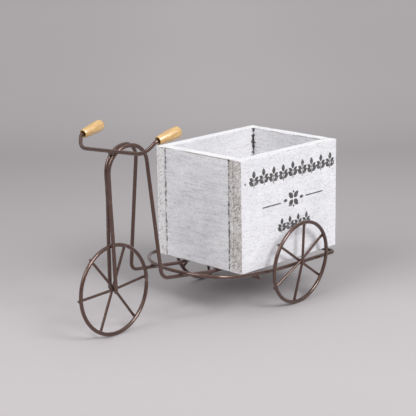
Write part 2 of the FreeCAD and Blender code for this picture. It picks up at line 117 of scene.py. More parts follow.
def make_floor():
    """Depth runs from 0, near the camera, by 0.3 at the stand to 1, far behind it."""
    half = 14.0
    depth_scale, stand_depth = 0.1, 0.3
    green_share, blue_share = 0.947, 0.970
    pool_middle, pool_narrowness, painted_pool_strength = 0.09, 8.0, 0.09
    # Painted light falloff: the floor colour is graded by depth, lighter near the camera and greyer
    # behind.
    painted_falloff_tones = (
        (0, 0.22), (0.1, 0.33), (0.2, 0.45), (0.27, 0.48), (0.3, 0.457), (0.322, 0.38),
        (0.345, 0.355), (0.412, 0.289), (0.45, 0.326), (0.5, 0.356), (0.717, 0.416))
    corners = [(-half, -half, 0), (half, -half, 0), (half, half, 0), (-half, half, 0)]
    mesh = bpy.data.meshes.new("floor")
    mesh.from_pydata(corners, [], [(0, 1, 2, 3)])
    floor = put_in_scene("floor", mesh)
    material, tree, shader = new_material("studio_floor")
    reckon = partial(maths, tree)
    place = axes_of(tree, object_place(tree))
    behind = reckon("SUBTRACT", place["Y"], place["X"])
    depth = reckon("MULTIPLY_ADD", behind, depth_scale, stand_depth)
    colour = ramp(tree, depth, [
        (stop, (tone, tone * green_share, tone * blue_share)) for stop, tone in painted_falloff_tones])
    # Painted pool of light: a soft band of lighter floor colour along the line x + y = pool_middle,
    # beyond the stand.
    off = reckon("SUBTRACT", reckon("ADD", place["X"], place["Y"]), pool_middle)
    fall = reckon("EXPONENT", reckon("MULTIPLY", reckon("MULTIPLY", off, off), -pool_narrowness))
    beyond = ramp(tree, depth, [(0.335, 0.0), (0.37, 0.8), (0.405, 0.7), (0.45, 1.45), (0.6, 0.8)])
    lift = reckon("MULTIPLY_ADD", reckon("MULTIPLY", fall, beyond), painted_pool_strength, 1.0)
    lighter = add_node(tree, "ShaderNodeVectorMath", {0: colour, "Scale": lift}, operation="SCALE")
    set_inputs(tree, shader, Base_Color=lighter.outputs[0], Roughness=0.9, Specular_IOR_Level=0.1)
    mesh.materials.append(material)


def add_lamp(name, place, aim, across, watts):
    data = bpy.data.lights.new(name, "AREA")
    data.shape = "DISK"
    data.size = across
    data.energy = watts
    lamp = put_in_scene(name, data)
    lamp.location = place
    lamp.rotation_euler = (Vector(aim) - Vector(place)).to_track_quat("-Z", "Y").to_euler()


make_floor()
add_lamp("key_lamp", (6.2, -0.3, 5.3), (0, 0, 0.08), 3.8, 495)
add_lamp("front_lamp", (-0.4, -6.3, 5.0), (0, 0, 0.1), 4.2, 220)

# Air: soft light that grows towards the zenith, and a pale backdrop to the eye, gloss and glass
low_light, overhead_light, pale_air = 0.14, 0.74, 0.42
world = bpy.data.worlds.new("studio_air")
world.use_nodes = True
sky = world.node_tree
air = sky.nodes["Background"]
air.inputs["Color"].default_value = (1, 1, 1, 1)
direction = add_node(sky, "ShaderNodeTexCoord").outputs["Generated"]
overhead = maths(sky, "MAXIMUM", axes_of(sky, direction)["Z"], 0.0)
glow = maths(sky, "MULTIPLY_ADD", overhead, overhead_light, low_light)
rays = add_node(sky, "ShaderNodeLightPath").outputs
seen = maths(sky, "MAXIMUM", rays["Is Camera Ray"], rays["Is Glossy Ray"])
seen = maths(sky, "MAXIMUM", seen, rays["Is Transmission Ray"])
set_inputs(sky, air, Strength=maths(sky, "MAXIMUM", glow, maths(sky, "MULTIPLY", seen, pale_air)))
bpy.context.scene.world = world
bpy.context.scene.view_settings.view_transform = "Standard"

# Camera, in the place from which the stand was photographed
sight = Vector((-0.67643, 0.69445, -0.24533))
level = Vector((0.71882, 0.69505, -0.01449))
upward = Vector((-0.16045, 0.18615, 0.96933))
viewpoint = (1.02579, -1.0302, 0.47868)
camera_data = bpy.data.cameras.new("studio_camera")
camera_data.sensor_width = 36.0
camera_data.lens = 122.99
camera_data.clip_start = 0.05
camera_data.clip_end = 60.0
camera = put_in_scene("studio_camera", camera_data)
turned = Matrix((level, upward, -sight)).transposed().to_4x4()
camera.matrix_world = Matrix.Translation(viewpoint) @ turned
bpy.context.scene.camera = camera


# Brown wire finish
# Mild steel wire dipped in dark brown paint. The paint is half gloss, a little uneven, and
# thinner and greyer where hands and tools have rubbed it.
def shader_group(name, places, values, results):
    """A node group with vectors and numbers in, and numbers and a Color out."""
    group = bpy.data.node_groups.new(name, "ShaderNodeTree")
    for label in places:
        group.interface.new_socket(label, in_out="INPUT", socket_type="NodeSocketVector")
    for label, default in values.items():
        socket = group.interface.new_socket(label, in_out="INPUT", socket_type="NodeSocketFloat")
        socket.default_value = default
    for label in results:
        kind = "NodeSocketColor" if label == "Color" else "NodeSocketFloat"
        group.interface.new_socket(label, in_out="OUTPUT", socket_type=kind)
    return group, add_node(group, "NodeGroupInput").outputs, add_node(group, "NodeGroupOutput")


def place_group(tree, group, **values):
    node = add_node(tree, "ShaderNodeGroup", node_tree=group)
    set_inputs(tree, node, **values)
    return node.outputs


def noise_over(tree, place, **values):
    return add_node(tree, "ShaderNodeTexNoise", {"Vector": place, **values}).outputs["Fac"]


def add_wear_group():
    """Patches and fine mottle over any surface: Place in, Patches, Mottle and Height out."""
    group, given, result = shader_group(
        "worn_finish", ["Place"], {"Patch Scale": 60.0, "Mottle Scale": 600.0, "Cover": 0.5},
        ["Patches", "Mottle", "Height"])
    place = given["Place"]
    large = noise_over(group, place, Scale=given["Patch Scale"], Detail=4.0, Roughness=0.6)
    small = noise_over(group, place, Scale=given["Mottle Scale"], Detail=3.0, Roughness=0.65)
    edge = maths(group, "SUBTRACT", large, given["Cover"])
    patches = maths(group, "MULTIPLY", edge, 7.0, clamp=True)
    height = maths(group, "ADD", maths(group, "MULTIPLY", large, 0.5), small)
    set_inputs(group, result, Patches=patches, Mottle=small, Height=height)
    return group


def bump(tree, shader, height, strength, distance):
    node = add_node(tree, "ShaderNodeBump")
    set_inputs(tree, node, Height=height, Strength=strength, Distance=distance)
    set_inputs(tree, shader, Normal=node.outputs["Normal"])


def mix_colours(tree, share, first, second, blend="MIX"):
    node = add_node(tree, "ShaderNodeMix", data_type="RGBA", blend_type=blend)
    sockets = {socket.identifier: socket for socket in (*node.inputs, *node.outputs)}
    feed(tree, sockets["Factor_Float"], share)
    for label, colour in (("A_Color", first), ("B_Color", second)):
        feed(tree, sockets[label], (*colour, 1.0) if isinstance(colour, tuple) else colour)
    return sockets["Result_Color"]


def make_wire_paint():
    deep, rubbed, paler = (0.077, 0.035, 0.025), (0.22, 0.135, 0.10), 1.45
    smoothest, roughest = 0.20, 0.36
    material, tree, shader = new_material("brown_wire")
    wear = place_group(
        tree, worn_finish, Place=object_place(tree), Patch_Scale=95.0, Mottle_Scale=900.0,
        Cover=0.62)
    base = ramp(tree, wear["Mottle"], [(0.32, deep), (0.72, tuple(c * paler for c in deep))])
    set_inputs(
        tree, shader, Base_Color=mix_colours(tree, wear["Patches"], base, rubbed),
        Roughness=ramp(tree, wear["Mottle"], [(0.3, smoothest), (0.7, roughest)]), Metallic=0.6,
        Specular_IOR_Level=0.7, Coat_Weight=0.62, Coat_Roughness=0.08, Coat_IOR=1.65)
    bump(tree, shader, wear["Height"], 0.35, 0.12 * mm)
    return material


worn_finish = add_wear_group()
brown_wire = make_wire_paint()


# Bent wires
# Each is a length of round wire bent by hand over a former, so that straight runs meet in
# arcs. Ends are cropped and slightly rounded. The wire wanders a little along its length.
def geometry_tree(name, inputs):
    """A Geometry Nodes tree with a mesh in and out, and the named inputs asked for."""
    tree = bpy.data.node_groups.new(name, "GeometryNodeTree")
    tree.interface.new_socket("Geometry", in_out="INPUT", socket_type="NodeSocketGeometry")
    tree.interface.new_socket("Geometry", in_out="OUTPUT", socket_type="NodeSocketGeometry")
    for label, kind, default in inputs:
        socket = tree.interface.new_socket(label, in_out="INPUT", socket_type=kind)
        if default is not None:
            socket.default_value = default
    return tree, add_node(tree, "NodeGroupInput").outputs, add_node(tree, "NodeGroupOutput")


def chain(tree, source, *nodes):
    """Links the geometry through nodes by their first geometry sockets."""
    for node in nodes:
        tree.links.new(source, node.inputs[0])
        source = node.outputs[0]
    return source


def uneven(tree, geometry, given):
    """Moves points along their normals by noise, as the tree's own inputs ask."""
    move = add_node(tree, "GeometryNodeSetPosition")
    place = add_node(tree, "GeometryNodeInputPosition").outputs[0]
    pattern = add_node(tree, "ShaderNodeTexNoise", noise_dimensions="4D")
    set_inputs(
        tree, pattern, Vector=place, Scale=given["Uneven Scale"], W=given["Seed"], Detail=3.0)
    centred = maths(tree, "SUBTRACT", pattern.outputs["Fac"], 0.5)
    amount = maths(tree, "MULTIPLY", centred, given["Uneven"])
    normal = add_node(tree, "GeometryNodeInputNormal").outputs[0]
    push = add_node(tree, "ShaderNodeVectorMath", {0: normal, "Scale": amount}, operation="SCALE")
    set_inputs(tree, move, Offset=push.outputs[0])
    return chain(tree, geometry, move)


def end_tree(tree, geometry, given, result):
    """Makes any instances real, sets the finish and ends the tree."""
    real = add_node(tree, "GeometryNodeRealizeInstances")
    finish = add_node(tree, "GeometryNodeSetMaterial", {"Material": given["Finish"]})
    tree.links.new(chain(tree, geometry, real, finish), result.inputs[0])


def add_wire_tree():
    arc_points, end_narrowing = 28, 0.22
    tree, given, result = geometry_tree("bent_wire", [
        ("Wire Radius", "NodeSocketFloat", 2.0 * mm),
        ("Step", "NodeSocketFloat", 1.4 * mm),
        ("Sides", "NodeSocketInt", 20),
        ("Uneven", "NodeSocketFloat", 0.22 * mm),
        ("Uneven Scale", "NodeSocketFloat", 160.0),
        ("Seed", "NodeSocketFloat", 1.0),
        ("Finish", "NodeSocketMaterial", None)])
    line = add_node(tree, "GeometryNodeMeshToCurve")
    radius = add_node(
        tree, "GeometryNodeInputNamedAttribute", {"Name": "bend_radius"}, data_type="FLOAT")
    bend = add_node(tree, "GeometryNodeFilletCurve", {
        "Count": arc_points, "Radius": radius.outputs["Attribute"]}, mode="POLY")
    steps = add_node(tree, "GeometryNodeResampleCurve", {"Length": given["Step"]}, mode="LENGTH")
    section = add_node(tree, "GeometryNodeCurvePrimitiveCircle", {
        "Resolution": given["Sides"], "Radius": given["Wire Radius"]}, mode="RADIUS")
    ends = add_node(tree, "GeometryNodeCurveEndpointSelection")
    full = maths(tree, "ADD", maths(tree, "MULTIPLY", ends.outputs[0], -end_narrowing), 1.0)
    tube = add_node(tree, "GeometryNodeCurveToMesh", {
        "Curve": chain(tree, given["Geometry"], line, bend, steps), "Fill Caps": True,
        "Profile Curve": section.outputs["Curve"], "Scale": full})
    smooth = add_node(tree, "GeometryNodeSetShadeSmooth")
    shape = chain(tree, uneven(tree, tube.outputs["Mesh"], given), smooth)
    end_tree(tree, shape, given, result)
    return tree


def grow(name, mesh, tree, values):
    """A plain mesh object from a carrier mesh and a tree, its inputs set by identifier."""
    thing = put_in_scene(name, mesh)
    modifier = thing.modifiers.new("shape", "NODES")
    modifier.node_group = tree
    for item in tree.interface.items_tree:
        if item.in_out == "INPUT" and item.name in values:
            modifier[item.identifier] = values[item.name]
    bpy.context.view_layer.update()
    ready = thing.evaluated_get(bpy.context.evaluated_depsgraph_get())
    made = bpy.data.meshes.new_from_object(ready)
    thing.modifiers.clear()
    thing.data = made
    made.name = name
    return thing


def carry(thing, body, slot, *nodes):
    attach(thing, body)
    if nodes:
        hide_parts(*nodes)


def wire_mesh(routes):
    """Polylines in millimetres: each route is (points, bend radii, closed)."""
    mesh = bpy.data.meshes.new("wire_route")
    places, edges, bends = [], [], []
    for points, radii, closed in routes:
        first = len(places)
        places += [Vector(point) * mm for point in points]
        edges += [(first + index, first + index + 1) for index in range(len(points) - 1)]
        if closed:
            edges.append((len(places) - 1, first))
        bends += [radius * mm for radius in radii]
    mesh.from_pydata(places, edges, [])
    attribute = mesh.attributes.new("bend_radius", "FLOAT", "POINT")
    attribute.data.foreach_set("value", bends)
    return mesh


def make_wire(name, routes, nodes, seed, radius=2.0, uneven_height=0.22, step=1.4):
    values = {
        "Wire Radius": radius * mm, "Step": step * mm, "Sides": 20, "Seed": seed,
        "Uneven": uneven_height * mm, "Uneven Scale": 160.0, "Finish": brown_wire}
    carry(grow(name, wire_mesh(routes), wire_tree, values), "stand", "brown_wire", *nodes)


wire_tree = add_wire_tree()

# Arch wires
# One wire a side: fork leg beside the front wheel, crown over the head, drop behind it, and
# a run back under the box. The legs differ a little in lead and in the height of the foot.
arch_bends = [0.0, 90.0, 90.0, 25.22, 18.68, 10.0, 60.0, 0.0]
arch_left = [
    (3.5, -115.21, 44.7), (3.18, -116.62, 93.8), (2.05, -117.98, 140.72), (2.05, -119.5, 193.5),
    (5.8, -72.8, 193.5), (23.0, -69.7, 54.2), (25.0, 3.2, 45.5), (25.0, 161.2, 45.5)]
arch_right = [
    (-7.1, -113.78, 47.4), (-5.09, -115.6, 93.8), (-2.05, -117.43, 140.72), (-2.05, -119.5, 193.5),
    (-5.8, -72.8, 193.5), (-23.0, -69.7, 54.2), (-25.0, 3.2, 45.5), (-25.0, 161.2, 45.5)]
for side, route, seed in (("left", arch_left, 3.0), ("right", arch_right, 8.0)):
    make_wire("arch_" + side, [(route, arch_bends, False)], ["arch_wire_" + side], seed)

# Platform ring
# One wire bent round the foot of the box and butt welded at the back. It lies over the two
# runs in front and under them behind, and its corners were bent by eye.
ring_points = [
    (63.92, 159.2, 41.45), (67.73, 53.2, 44.1), (71.08, -5.84, 50.85), (61.65, -27.82, 53.36),
    (37.8, -42.29, 55.01), (4.85, -45.8, 55.42), (-23.86, -38.29, 54.56), (-49.72, -20.31, 52.5),
    (-67.62, 4.2, 49.7), (-67.73, 53.2, 44.1), (-63.92, 159.2, 41.45)]
ring_bends = [8.0, 200.0, 46.28, 33.81, 56.07, 72.56, 74.86, 81.64, 42.45, 200.0, 8.0]
make_wire("foot_ring", [(ring_points, ring_bends, True)], ["platform_ring"], 12.0)

# Cross rod
# A thin straight rod under the runs and the ring, welded a little askew. It steadies the
# ring, and its ends stand out at both sides.
thin_rod = {"radius": 1.45, "uneven_height": 0.14, "step": 1.0}
cross_points = [(-71.82, 35.12, 42.0), (0.0, 30.1, 42.0), (71.82, 25.08, 42.0)]
make_wire("steady_rod", [(cross_points, [0.0, 0.0, 0.0], False)], ["cross_rod"], 17.0, **thin_rod)

# Handlebar
# One wire across the front of the two crowns, bent up and back at both ends. It sits a
# little tilted, and its ends go into the grips.
bar_points = [
    (55.47, -79.8, 210.39), (53.97, -103.59, 205.21), (48.3, -113.29, 193.72),
    (-45.9, -113.29, 187.63), (-55.4, -103.59, 198.14), (-57.56, -79.8, 203.08)]
make_wire("bar", [(bar_points, [0.0, 5.0, 16.0, 16.0, 5.0, 0.0], False)], ["handlebar"], 21.0)

# Wheels
# A wire ring with three rods welded across one face, each wheel standing a little askew. The
# rods bow over one another at the hub, where they are welded to the fork or to the ring.
wheels = [
    ("front_wheel", (0.0, -114.3, 47.89), 1.75, -1.26, 45.9, [
        [(-3.61, -84.88, 11.68), (-1.24, -113.54, 48.21), (-3.46, -142.6, 84.99)],
        [(-2.06, -160.99, 45.68), (-0.08, -113.5, 48.24), (-5.01, -67.86, 50.56)],
        [(-1.92, -133.79, 5.4), (-4.99, -93.99, 89.73)]]),
    ("rear_left_wheel", (73.65, 88.9, 46.28), 1.96, 4.24, 44.4, [
        [(67.1, 126.95, 22.2), (73.45, 52.29, 73.3)],
        [(69.86, 49.16, 24.47), (72.45, 90.46, 47.07), (70.4, 128.56, 68.32)],
        [(66.84, 85.6, 1.4), (74.78, 90.54, 46.89), (73.19, 94.98, 91.38)]]),
    ("rear_right_wheel", (-73.65, 88.9, 46.28), 1.96, -4.24, 44.4, [
        [(-66.98, 92.34, 1.39), (-73.57, 88.94, 91.79)],
        [(-67.04, 50.78, 22.36), (-72.56, 90.54, 47.07), (-73.22, 127.53, 70.29)],
        [(-69.99, 129.73, 26.52), (-74.89, 90.46, 46.89), (-70.4, 49.59, 68.98)]])]
rod_bend = 40.0
rod_overrun = 0.9


def wheel_turn(turn, lean):
    return Matrix.Rotation(math.radians(turn), 3, "Z") @ Matrix.Rotation(math.radians(lean), 3, "Y")


def circle_points(hub, turned, radius, count=96):
    points = []
    for index in range(count):
        angle = math.tau * index / count
        flat = Vector((0, radius * math.cos(angle), radius * math.sin(angle)))
        points.append(Vector(hub) + turned @ flat)
    return points


for order, (wheel, hub, turn, lean, rim_radius, rods) in enumerate(wheels):
    points = circle_points(hub, wheel_turn(turn, lean), rim_radius)
    ring = [(points, [0.0] * len(points), True)]
    make_wire(wheel + "_ring", ring, [wheel + "_rim"], 30.0 + order)
    routes = [(rod, [0.0] + [rod_bend] * (len(rod) - 2) + [0.0], False) for rod in rods]
    spokes = [wheel + "_spoke_%d" % number for number in (1, 2, 3)]
    make_wire(wheel + "_rods", routes, spokes, 40.0 + order, **thin_rod)


# Weld beads
# Small lumps of weld, painted over with the wire, wherever two wires touch. The largest are
# at the wheel hubs, where three rods and the fork or the ring come together.
def add_bead_tree():
    tree, given, result = geometry_tree("weld_beads", [
        ("Uneven", "NodeSocketFloat", 0.9 * mm),
        ("Uneven Scale", "NodeSocketFloat", 420.0),
        ("Seed", "NodeSocketFloat", 5.0),
        ("Finish", "NodeSocketMaterial", None)])
    ball = add_node(tree, "GeometryNodeMeshIcoSphere", {"Radius": 1.0, "Subdivisions": 3})
    size = add_node(
        tree, "GeometryNodeInputNamedAttribute", {"Name": "bead_size"}, data_type="FLOAT_VECTOR")
    spread = add_node(tree, "GeometryNodeInstanceOnPoints", {
        "Instance": ball.outputs["Mesh"], "Scale": size.outputs["Attribute"]})
    real = add_node(tree, "GeometryNodeRealizeInstances")
    lumps = uneven(tree, chain(tree, given["Geometry"], spread, real), given)
    smooth = add_node(tree, "GeometryNodeSetShadeSmooth")
    end_tree(tree, chain(tree, lumps, smooth), given, result)
    return tree


beads = []
for wheel, hub, turn, lean, rim_radius, rods in wheels:
    turned = wheel_turn(turn, lean)
    for rod in rods:
        for end, inner in ((rod[0], rod[1]), (rod[-1], rod[-2])):
            end, inner = Vector(end), Vector(inner)
            on_rod = end + (inner - end).normalized() * rod_overrun
            flat = turned.transposed() @ (on_rod - Vector(hub))
            flat.x = 0.0
            on_rim = Vector(hub) + turned @ (flat.normalized() * rim_radius)
            beads.append((tuple((on_rod + on_rim) / 2), (1.5, 1.9, 1.9)))
beads += [
    ((-1.8, -113.6, 48.2), (2.6, 2.4, 2.4)), ((1.9, -114.4, 47.3), (1.9, 2.3, 2.4)),
    ((-5.2, -113.8, 48.3), (1.9, 2.2, 2.3)),
    ((72.2, 90.5, 47.1), (2.9, 2.3, 2.3)), ((67.95, 96.3, 43.3), (2.0, 2.6, 2.0)),
    ((-72.2, 90.5, 47.1), (2.9, 2.3, 2.3)), ((-68.2, 90.8, 43.2), (2.0, 2.5, 2.0)),
    ((1.1, -116.6, 94.4), (1.3, 1.7, 2.1)), ((-3.05, -115.7, 94.4), (1.3, 1.7, 2.1)),
    ((0.0, -118.4, 158.0), (0.9, 1.0, 3.2)), ((0.0, -118.5, 175.0), (0.9, 1.0, 3.0)),
    ((0.6, -113.2, 188.0), (4.6, 1.5, 1.5)), ((0.6, -110.7, 190.3), (4.0, 1.4, 1.3)),
    ((25.0, -43.2, 53.2), (2.0, 2.0, 1.3)), ((-25.0, -36.9, 52.5), (2.0, 2.0, 1.3)),
    ((25.0, 159.6, 43.5), (2.0, 2.1, 1.3)), ((-25.0, 159.6, 43.5), (2.0, 2.1, 1.3)),
    ((0.0, 159.2, 41.45), (1.2, 2.25, 2.25)),
    ((25.0, 28.35, 43.4), (1.5, 1.5, 0.9)), ((-25.0, 31.85, 43.4), (1.5, 1.5, 0.9)),
    ((68.7, 25.3, 44.4), (1.7, 1.5, 1.9)), ((-68.4, 34.9, 43.9), (1.7, 1.5, 1.6))]
bead_mesh = bpy.data.meshes.new("bead_places")
bead_mesh.from_pydata([Vector(place) * mm for place, _ in beads], [], [])
bead_sizes = bead_mesh.attributes.new("bead_size", "FLOAT_VECTOR", "POINT")
bead_sizes.data.foreach_set("vector", [side * mm for _, size in beads for side in size])
bead_values = {"Uneven": 0.9 * mm, "Uneven Scale": 420.0, "Seed": 5.0, "Finish": brown_wire}
carry(grow("weld_beads", bead_mesh, add_bead_tree(), bead_values), "stand", "brown_wire")


# Planter boards
# Sawn softwood boards, nailed up and washed with thin white paint. Long edges are worn
# round, the sawn ends stay rough, and the paint is thin over the grain.
def graded(low, high, step):
    """Places along one side of a board, closer together near its two ends."""
    near = [0.0, 0.25 * mm, 0.6 * mm, 1.1 * mm, 1.9 * mm, 3.0 * mm]
    middle = max(1, round((high - low - 2 * near[-1]) / step))
    inner = [low + near[-1] + (high - low - 2 * near[-1]) * k / middle for k in range(1, middle)]
    return [low + k for k in near] + inner + [high - k for k in reversed(near)]


def board_shell(low, high, step):
    """The six faces of a board as one closed grid of quads."""
    axes = [graded(low[axis], high[axis], step[axis]) for axis in range(3)]
    counts = [len(axis) for axis in axes]
    places, numbers, faces = [], {}, []

    def number(key):
        if key not in numbers:
            numbers[key] = len(places)
            places.append(Vector([axes[axis][key[axis]] for axis in range(3)]))
        return numbers[key]

    for axis in range(3):
        first, second = (axis + 1) % 3, (axis + 2) % 3
        for end in (0, counts[axis] - 1):
            for i in range(counts[first] - 1):
                for j in range(counts[second] - 1):
                    loop = []
                    for di, dj in ((0, 0), (1, 0), (1, 1), (0, 1)):
                        key = [0, 0, 0]
                        key[axis], key[first], key[second] = end, i + di, j + dj
                        loop.append(number(tuple(key)))
                    faces.append(loop if end else loop[::-1])
    return places, faces


def wear_board(places, low, high, grain, seed):
    """Rounds the edges by a radius that wanders, and roughens the sawn ends."""
    usual_radius, least_radius, on_face = 0.75, 0.25, 0.02
    face_dent, sawn_dent = 0.03, 0.16
    drift = Vector((seed * 3.7, seed * 1.3, seed * 5.1))
    worn = []
    for place in places:
        slow = noise.noise(place * 45 + drift)
        quick = noise.noise(place * 260 + drift)
        chip = max(0.0, noise.noise(place * 120 - drift) - 0.32) * 3.0
        radius = (usual_radius + 0.35 * slow + 0.28 * quick + 1.1 * chip) * mm
        radius = max(radius, least_radius * mm)
        inner = Vector([min(max(place[k], low[k] + radius), high[k] - radius) for k in range(3)])
        away = place - inner
        if away.length > 1e-9:
            place = inner + away.normalized() * radius
        for axis in range(3):
            for side, face in ((-1, low[axis]), (1, high[axis])):
                if abs(place[axis] - face) < on_face * mm:
                    depth = face_dent + face_dent * noise.noise(place * 90 + drift)
                    if axis == grain:
                        depth = sawn_dent + sawn_dent * noise.noise(place * 520 + drift)
                    place = place.copy()
                    place[axis] -= side * depth * mm
        worn.append(place)
    return worn


def edge_share(place, low, high):
    """1 on the edge between two faces of the board, 0 a few millimetres away from it."""
    fading = 1.1 * mm
    depths = sorted(min(place[k] - low[k], high[k] - place[k]) for k in range(3))
    return math.exp(-depths[1] / fading)


def make_board(name, node, grain, seed, finish, steps):
    low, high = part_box(node)
    places, faces = board_shell(low, high, steps)
    mesh = bpy.data.meshes.new(name)
    mesh.from_pydata(wear_board(places, low, high, grain, seed), [], faces)
    worn = mesh.attributes.new("edge_share", "FLOAT", "POINT")
    worn.data.foreach_set("value", [edge_share(place, low, high) for place in places])
    mesh.polygons.foreach_set("use_smooth", [True] * len(mesh.polygons))
    mesh.materials.append(finish)
    carry(put_in_scene(name, mesh), "planter_box", "whitewashed_wood", node)


def add_wash_group():
    """Thin white paint over sawn wood whose grain runs along the first axis of Place."""
    group, given, result = shader_group("whitewash", ["Place", "Section"], {
        "Bare": 0.5, "Streaks": 1.0, "End Grain": 0.0, "End Bare": 0.5, "Edge": 0.0,
        "Dark Joint": 0.0}, ["Color", "Height", "Roughness"])
    reckon = partial(maths, group)

    def grained(stretch, **values):
        mapping = add_node(
            group, "ShaderNodeMapping", {"Vector": given["Place"], "Scale": (stretch, 1.0, 1.0)})
        return noise_over(group, mapping.outputs[0], Roughness=0.62, **values)

    streaks = grained(0.15, Scale=430.0, Detail=5.0, Distortion=0.3)
    fibres = grained(0.05, Scale=1500.0, Detail=3.0)
    bands = grained(0.25, Scale=75.0, Detail=4.0, Distortion=0.6)
    clouds = grained(1.0, Scale=34.0, Detail=3.0)
    flecks = grained(0.55, Scale=700.0, Detail=3.0)

    # Painted faces, with thin places along the grain and chips along the edges
    paint = ramp(group, streaks, [
        (0.30, (0.67, 0.67, 0.70)), (0.45, (0.81, 0.81, 0.84)),
        (0.60, (0.88, 0.88, 0.91)), (0.80, (0.91, 0.91, 0.935))])
    paint = mix_colours(group, given["Streaks"], (0.83, 0.83, 0.86), paint)
    weave = ramp(group, flecks, [(0.32, 0.76), (0.46, 0.96), (0.56, 1.0)])
    paint = mix_colours(group, 1.0, paint, weave, "MULTIPLY")
    shade = ramp(group, clouds, [(0.3, (0.90, 0.90, 0.915)), (0.62, 1.0)])
    paint = mix_colours(group, 1.0, paint, shade, "MULTIPLY")
    wood = ramp(group, fibres, [(0.3, (0.33, 0.29, 0.27)), (0.7, (0.52, 0.49, 0.47))])
    covered = reckon("SUBTRACT", 0.46, reckon("MULTIPLY", given["Bare"], 0.22))
    thin = reckon("SUBTRACT", reckon("MULTIPLY", bands, streaks), covered)
    thin = reckon("MULTIPLY", reckon("MULTIPLY", thin, 9.0, clamp=True), 0.62)
    faces = mix_colours(group, thin, paint, wood)
    knocked = reckon("SUBTRACT", reckon("MULTIPLY", clouds, 1.3), 0.23)
    chips = reckon("ADD", reckon("MULTIPLY", given["Edge"], knocked), flecks)
    chips = reckon("MULTIPLY", reckon("SUBTRACT", chips, 0.78), 6.0, clamp=True)
    faces = mix_colours(group, reckon("MULTIPLY", chips, 0.8), faces, (0.30, 0.265, 0.24))

    # Sawn ends, with slanting saw marks and paint that has worn away in blotches
    saw = add_node(group, "ShaderNodeMapping", {
        "Vector": given["Section"], "Rotation": (0.0, math.radians(-38), 0.0),
        "Scale": (3.2, 1.0, 1.0)}, vector_type="TEXTURE")
    marks = noise_over(group, saw.outputs[0], Scale=540.0, Detail=5.0, Roughness=0.74)
    grit = noise_over(group, given["Section"], Scale=760.0, Detail=4.0, Roughness=0.8)
    sawn = reckon("ADD", reckon("MULTIPLY", marks, 0.62), reckon("MULTIPLY", grit, 0.5))
    sawn = reckon("SUBTRACT", sawn, 0.06)
    end_wood = ramp(group, sawn, [
        (0.36, (0.12, 0.10, 0.09)), (0.45, (0.37, 0.33, 0.305)),
        (0.52, (0.66, 0.635, 0.625)), (0.60, (0.86, 0.85, 0.85))])
    end_paint = ramp(group, sawn, [
        (0.38, (0.13, 0.12, 0.115)), (0.44, (0.58, 0.57, 0.57)),
        (0.50, (0.85, 0.85, 0.86)), (0.62, (0.92, 0.92, 0.935))])
    kept = reckon("SUBTRACT", 1.22, reckon("MULTIPLY", given["End Bare"], 0.95))
    blotch = reckon("ADD", clouds, reckon("MULTIPLY", bands, 0.45))
    blotch = reckon("MULTIPLY", reckon("SUBTRACT", blotch, kept), 3.5, clamp=True)
    ends = mix_colours(group, blotch, end_paint, end_wood)

    colour = mix_colours(group, given["End Grain"], faces, ends)
    colour = mix_colours(group, given["Dark Joint"], colour, (0.05, 0.043, 0.04))
    ridge = reckon("ADD", reckon("MULTIPLY", streaks, 0.7), reckon("MULTIPLY", fibres, 0.5))
    height = add_node(group, "ShaderNodeMix", data_type="FLOAT")
    set_inputs(group, height, Factor=given["End Grain"], A=ridge, B=reckon("MULTIPLY", sawn, 1.9))
    set_inputs(
        group, result, Color=colour, Height=height.outputs["Result"],
        Roughness=ramp(group, streaks, [(0.3, 0.88), (0.7, 0.72)]))
    return group


def smooth_step(tree, value, start, end):
    node = add_node(tree, "ShaderNodeMapRange", interpolation_type="SMOOTHSTEP")
    set_inputs(tree, node, Value=value, From_Min=start, From_Max=end)
    return node.outputs["Result"]


